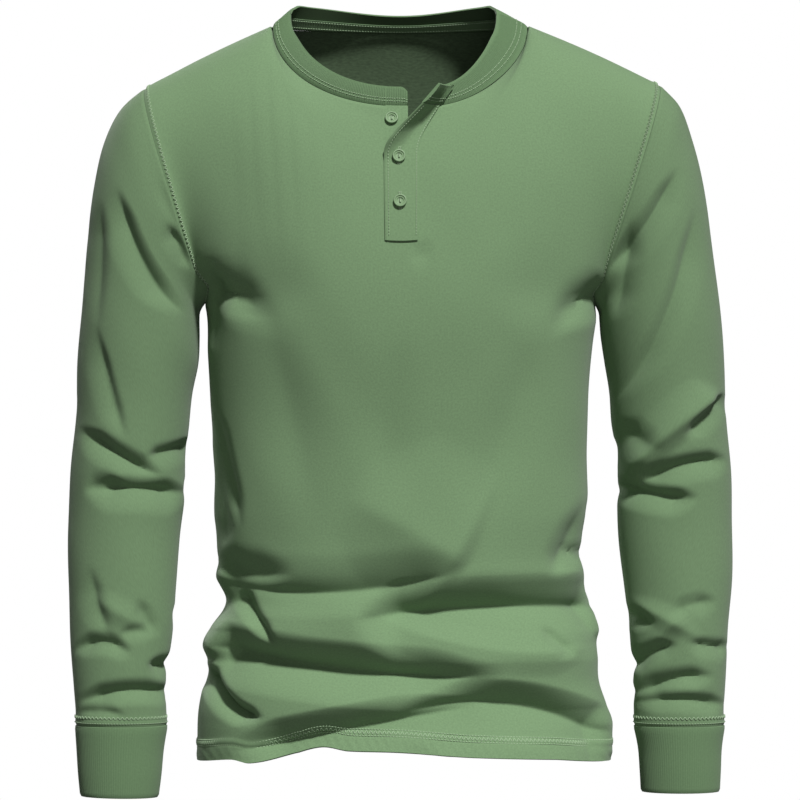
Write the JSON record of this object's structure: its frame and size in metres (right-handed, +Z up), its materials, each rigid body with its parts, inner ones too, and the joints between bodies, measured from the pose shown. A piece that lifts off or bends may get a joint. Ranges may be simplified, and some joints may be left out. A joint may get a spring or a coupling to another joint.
{
  "type": "henley shirt",
  "caption": "Long-sleeved henley shirt with a buttoned half placket, banded neck and cuffs, filled out as worn.",
  "frame": {"origin": "middle of the neck opening at the height of the shoulder seams' neck ends, in the plane of the shoulder seams", "axes": "+Z up the body, -Y out of the front, +X to the viewer's right when facing the front"},
  "size_m": [0.5943, 0.2289, 0.7103],
  "materials": {
    "cloth": "matt jersey knit",
    "rib": "matt rib knit",
    "tape": "matt twill tape",
    "button": "half gloss"
  },
  "bodies": {
    "root": {"front": "cloth", "back": "cloth", "sleeve_left": "cloth", "sleeve_right": "cloth", "placket_stand": "cloth", "placket_flap": "cloth", "cuff_left": "rib", "cuff_right": "rib", "collar_band": "rib", "neck_tape": "tape", "button_top": "button", "button_middle": "button", "button_bottom": "button"}
  },
  "joints": []
}
